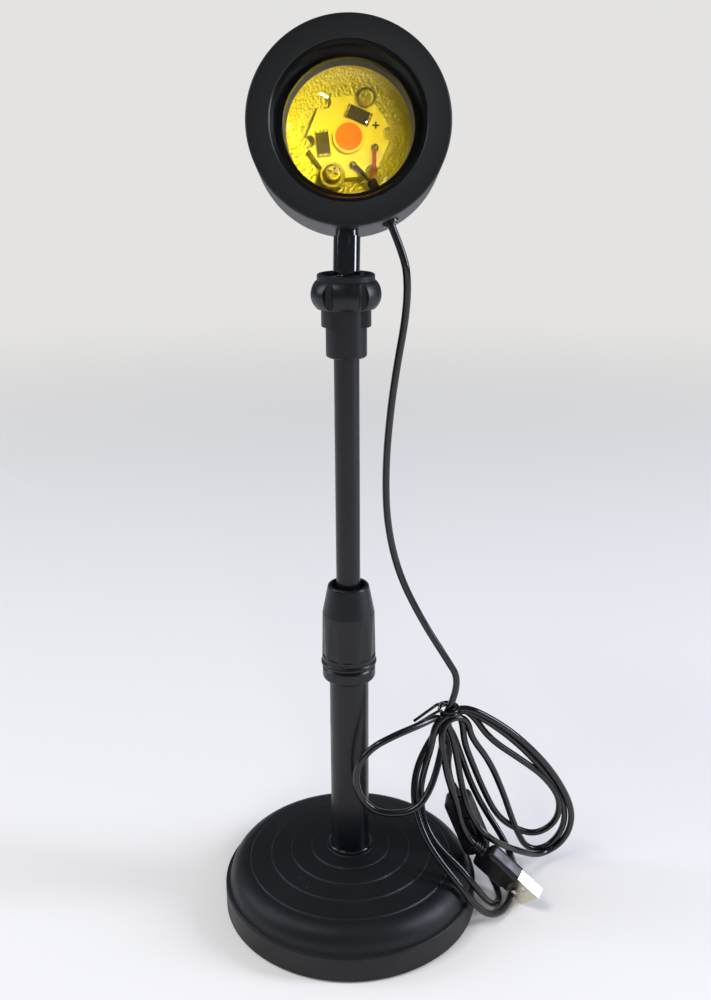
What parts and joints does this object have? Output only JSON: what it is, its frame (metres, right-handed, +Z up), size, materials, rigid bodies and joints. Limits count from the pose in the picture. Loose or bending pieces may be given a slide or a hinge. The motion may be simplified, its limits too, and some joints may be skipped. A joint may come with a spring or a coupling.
{
  "type": "sunset projection lamp",
  "caption": "Desk lamp that throws a coloured disc of light: round weighted base, telescopic pole with twist clutch, ball joint, round lens head, USB cord with switch.",
  "frame": {"origin": "middle of the underside of the base, on the table", "axes": "+Z up along the pole; the lamp faces -Y; +X to the right as seen from the front"},
  "size_m": [0.146, 0.102, 0.3365],
  "materials": {
    "base_plastic": "matt, fine texture",
    "weight_iron": "as cast",
    "pad_foam": "matt foam",
    "fastener_steel": "zinc plated",
    "black_plastic": "satin",
    "pale_nylon": "natural",
    "tube_paint": "satin black",
    "trim_plastic": "gloss",
    "stem_metal": "gloss black",
    "casing_paint": "grey-black, fine vertical texture",
    "bezel_anodised": "black anodised, matt",
    "lens_glass": "polished",
    "filter_glass": "yellow coated",
    "board_white": "white solder mask",
    "led_ceramic": "matt",
    "led_phosphor": "silicone",
    "resistor_black": "matt",
    "solder": "bright",
    "wire_red": "gloss",
    "wire_black": "gloss",
    "plate_aluminium": "plain",
    "cord_pvc": "gloss PVC",
    "switch_plastic": "satin",
    "contact_brass": "plated",
    "usb_nickel": "nickel plated",
    "tongue_plastic": "plain"
  },
  "bodies": {
    "foot": {"base_bolt": "fastener_steel", "base_pad": "pad_foam", "base_shell": "base_plastic", "base_washer": "fastener_steel", "base_weight": "weight_iron", "cable_tie": "trim_plastic", "clutch_body": "black_plastic", "clutch_collet": "pale_nylon", "cord_bunch": "cord_pvc", "fan_left_tube": "cord_pvc", "fan_loops": "cord_pvc", "lead_tube": "cord_pvc", "left_loop_tube": "cord_pvc", "low_loop_inner": "cord_pvc", "low_loop_outer": "cord_pvc", "lower_tube": "tube_paint", "plug_lead": "cord_pvc", "switch_bottom_shell": "switch_plastic", "switch_contact": "contact_brass", "switch_lead": "cord_pvc", "switch_reliefs": "cord_pvc", "switch_top_shell": "switch_plastic", "tube_end_plug": "black_plastic", "tube_foot_collar": "trim_plastic", "usb_contacts": "contact_brass", "usb_grip": "switch_plastic", "usb_shell": "usb_nickel", "usb_tongue": "tongue_plastic"},
    "head": {"barrel": "casing_paint", "bezel_ring": "bezel_anodised", "lens": "lens_glass", "lens_seal": "pad_foam", "filter_holder": "black_plastic", "colour_filter": "filter_glass", "filter_clip": "fastener_steel", "led_board": "board_white", "board_screws": "fastener_steel", "led_package": "led_ceramic", "led_phosphor": "led_phosphor", "chip_resistors": "resistor_black", "solder_joints": "solder", "wire_red": "wire_red", "wire_black": "wire_black", "wire_sleeve": "cord_pvc", "heat_plate": "plate_aluminium", "rear_cover": "casing_paint", "rear_screws": "fastener_steel", "cord_grommet": "cord_pvc"},
    "stem": {"ball_stud": "stem_metal", "stem_collar": "trim_plastic", "stem_nut": "fastener_steel"},
    "nut": {"lock_nut": "black_plastic"},
    "upper_pole": {"upper_tube": "tube_paint", "ball_socket": "black_plastic", "ball_pad": "pad_foam"},
    "bush": {"slide_bush": "pale_nylon"},
    "sleeve": {"clutch_sleeve": "black_plastic"},
    "button": {"switch_button": "switch_plastic"}
  },
  "joints": [
    {"name": "pole_slide", "type": "slide", "parent": "foot", "child": "bush", "axis": [0, 0, 1], "range_m": [-0.07, 0.011], "deforming": ["lead_tube"]},
    {"name": "pole_turn", "type": "hinge", "parent": "bush", "child": "upper_pole", "pos_m": [0, 0, 0.1], "axis": [0, 0, 1], "range_deg": [-180, 180]},
    {"name": "nut_turn", "type": "hinge", "parent": "upper_pole", "child": "nut", "pos_m": [0, 0, 0.247], "axis": [0, 0, 1], "range_deg": [0, 180]},
    {"name": "ball_tilt", "type": "hinge", "parent": "upper_pole", "child": "stem", "pos_m": [0, 0, 0.247], "axis": [1, 0, 0], "range_deg": [-12.5, 37.5]},
    {"name": "head_turn", "type": "hinge", "parent": "stem", "child": "head", "pos_m": [0, 0, 0.247], "axis": [0.0222, 0.2164, 0.976], "range_deg": [-90, 90]},
    {"name": "sleeve_turn", "type": "hinge", "parent": "foot", "child": "sleeve", "pos_m": [0, 0, 0.12], "axis": [0, 0, 1], "range_deg": [0, 120]},
    {"name": "button_press", "type": "slide", "parent": "foot", "child": "button", "axis": [0.1765, 0.983, 0.0504], "range_m": [0, 0.0008], "stiffness_N_per_m": 300, "springref_m": -0.0008}
  ]
}
